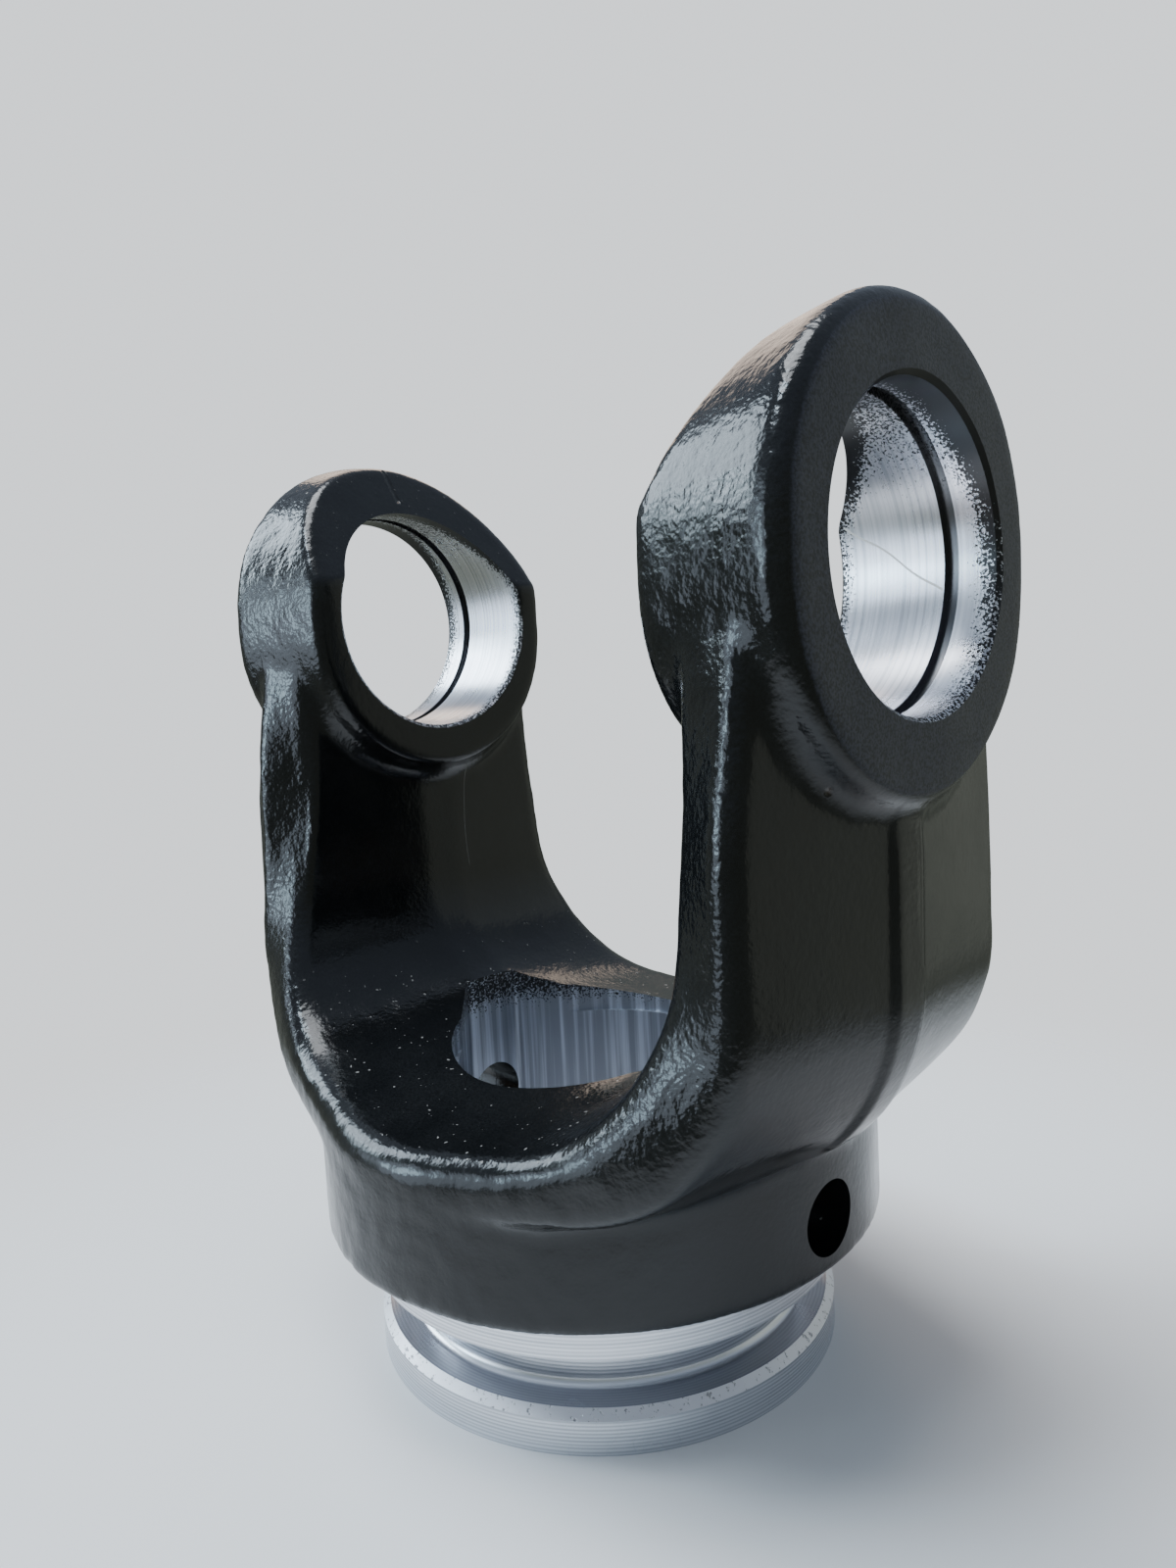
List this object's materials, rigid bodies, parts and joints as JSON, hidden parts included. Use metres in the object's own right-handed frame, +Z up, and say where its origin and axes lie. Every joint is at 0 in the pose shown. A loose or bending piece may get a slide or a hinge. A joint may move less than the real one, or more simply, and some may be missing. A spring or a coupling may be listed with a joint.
{
  "type": "driveline yoke",
  "caption": "U-shaped forged steel driveline yoke with bored ears, ring grooves, a profiled tube socket, a cross pin hole and a turned collar with a guard groove.",
  "frame": {"origin": "middle of the collar's underside, on the hub axis", "axes": "+Z up the hub axis towards the ears, +X along the ear bores, Y across the parting plane of the forging"},
  "size_m": [0.092, 0.068, 0.1119],
  "materials": {
    "forging": "gloss black paint over forged skin, with bare machined bores, socket and collar"
  },
  "bodies": {
    "root": {"forged_yoke": "forging"}
  },
  "joints": []
}
